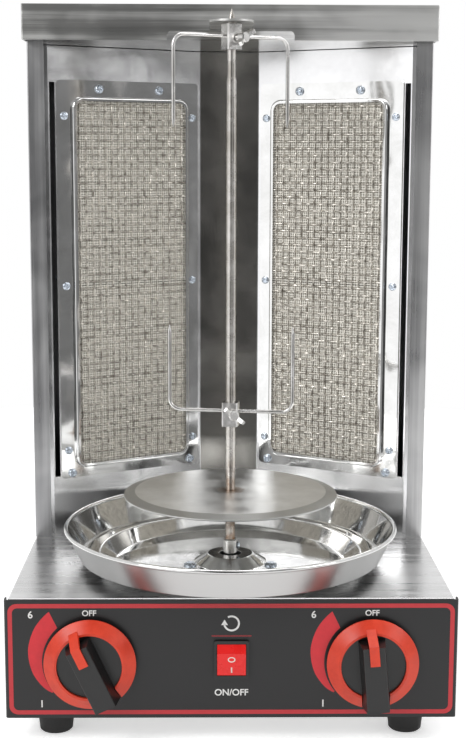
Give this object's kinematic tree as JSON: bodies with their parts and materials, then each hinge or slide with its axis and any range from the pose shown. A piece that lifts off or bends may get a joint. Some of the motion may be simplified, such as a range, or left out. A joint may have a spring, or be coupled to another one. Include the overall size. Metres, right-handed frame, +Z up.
{
  "type": "vertical kebab grill",
  "caption": "Table-top vertical kebab grill: motor-turned skewer with disc and meat forks before upright gas burners, round drip pan, and a panel with gas knobs and a rocker switch.",
  "frame": {"origin": "on the table under the middle of the bounding box", "axes": "+X to the right as seen from the front, +Y from the control panel to the back, +Z up"},
  "size_m": [0.312, 0.3342, 0.5094],
  "materials": {
    "brushed_steel": "brushed",
    "plain_steel": "mill finish",
    "mirror_steel": "polished",
    "zinc_steel": "zinc plated",
    "bright_steel": "satin polished",
    "mesh_wire": "heat-dulled wire",
    "ceramic": "matt off-white",
    "panel_paint": "satin",
    "red_plastic": "gloss",
    "black_plastic": "satin",
    "black_rubber": "matt",
    "motor_paint": "satin",
    "brass": "satin"
  },
  "bodies": {
    "frame": {"base_shell": "brushed_steel", "base_floor": "plain_steel", "rubber_feet": "black_rubber", "foot_bolts": "zinc_steel", "control_panel": "panel_paint", "base_rear": "brushed_steel", "inner_liner": "mirror_steel", "liner_skirt": "mirror_steel", "roof_plate": "brushed_steel", "skewer_guide": "brushed_steel", "hood": "brushed_steel", "rear_cover": "brushed_steel", "side_panel_left": "brushed_steel", "side_panel_right": "brushed_steel", "burner_screws": "zinc_steel", "case_screws": "zinc_steel", "drip_pan": "mirror_steel", "drip_pan_dome": "mirror_steel", "drip_pan_ring": "mirror_steel", "drip_pan_wall": "mirror_steel", "motor_bracket": "plain_steel", "gear_motor": "motor_paint", "gas_manifold": "brass", "feed_pipes": "brass", "gas_jets": "brass", "gas_inlet": "brass", "inlet_nut": "brass", "cable_gland": "black_plastic", "switch_body": "black_plastic", "burner_frame_left": "mirror_steel", "burner_frame_right": "mirror_steel", "burner_mesh_left": "mesh_wire", "burner_mesh_right": "mesh_wire", "burner_tiles_left": "ceramic", "burner_tiles_right": "ceramic", "burner_box_left": "plain_steel", "burner_box_right": "plain_steel", "venturi_tube_left": "plain_steel", "venturi_tube_right": "plain_steel", "gas_valve_left": "brass", "gas_valve_right": "brass"},
    "drive": {"drive_hub": "bright_steel", "motor_shaft": "plain_steel", "hub_screw": "zinc_steel"},
    "skewer_set": {"skewer": "bright_steel", "meat_disc": "bright_steel", "disc_pin": "zinc_steel"},
    "lower_fork_set": {"lower_fork": "bright_steel", "lower_clamp": "bright_steel"},
    "lower_screw": {"lower_wing_screw": "bright_steel"},
    "upper_fork_set": {"upper_fork": "bright_steel", "upper_clamp": "bright_steel"},
    "upper_screw": {"upper_wing_screw": "bright_steel"},
    "left_spindle": {"valve_spindle_left": "brass"},
    "left_knob": {"knob_grip_left": "black_plastic", "knob_ring_left": "red_plastic"},
    "right_spindle": {"valve_spindle_right": "brass"},
    "right_knob": {"knob_grip_right": "black_plastic", "knob_ring_right": "red_plastic"},
    "rocker": {"rocker_paddle": "red_plastic"}
  },
  "joints": [
    {"name": "drive_spin", "type": "hinge", "parent": "frame", "child": "drive", "pos_m": [0, -0.045, 0.1], "axis": [0, 0, 1], "continuous": true},
    {"name": "skewer_lift", "type": "slide", "parent": "drive", "child": "skewer_set", "axis": [0, 0, 1], "range_m": [0, 0.02]},
    {"name": "lower_fork_slide", "type": "slide", "parent": "skewer_set", "child": "lower_fork_set", "axis": [0, 0, 1], "range_m": [-0.045, 0.06]},
    {"name": "lower_screw_turn", "type": "hinge", "parent": "lower_fork_set", "child": "lower_screw", "pos_m": [0, -0.045, 0.2142], "axis": [0.1736, -0.9848, 0], "range_deg": [0, 80]},
    {"name": "upper_fork_slide", "type": "slide", "parent": "drive", "child": "upper_fork_set", "axis": [0, 0, -1], "range_m": [0, 0.1]},
    {"name": "upper_screw_turn", "type": "hinge", "parent": "upper_fork_set", "child": "upper_screw", "pos_m": [0, -0.045, 0.4809], "axis": [0.7071, -0.7071, 0], "range_deg": [0, 80]},
    {"name": "left_knob_turn", "type": "hinge", "parent": "frame", "child": "left_spindle", "pos_m": [-0.0965, -0.1329, 0.057], "axis": [0, -1, 0], "range_deg": [-25, 135]},
    {"name": "left_knob_push", "type": "slide", "parent": "left_spindle", "child": "left_knob", "axis": [0, 1, 0], "range_m": [0, 0.003], "stiffness_N_per_m": 800, "springref_m": -0.003},
    {"name": "right_knob_turn", "type": "hinge", "parent": "frame", "child": "right_spindle", "pos_m": [0.0965, -0.1329, 0.057], "axis": [0, -1, 0], "range_deg": [-5, 155]},
    {"name": "right_knob_push", "type": "slide", "parent": "right_spindle", "child": "right_knob", "axis": [0, 1, 0], "range_m": [0, 0.003], "stiffness_N_per_m": 800, "springref_m": -0.003},
    {"name": "rocker_tilt", "type": "hinge", "parent": "frame", "child": "rocker", "pos_m": [0, -0.1309, 0.059], "axis": [1, 0, 0], "range_deg": [0, 10]}
  ]
}
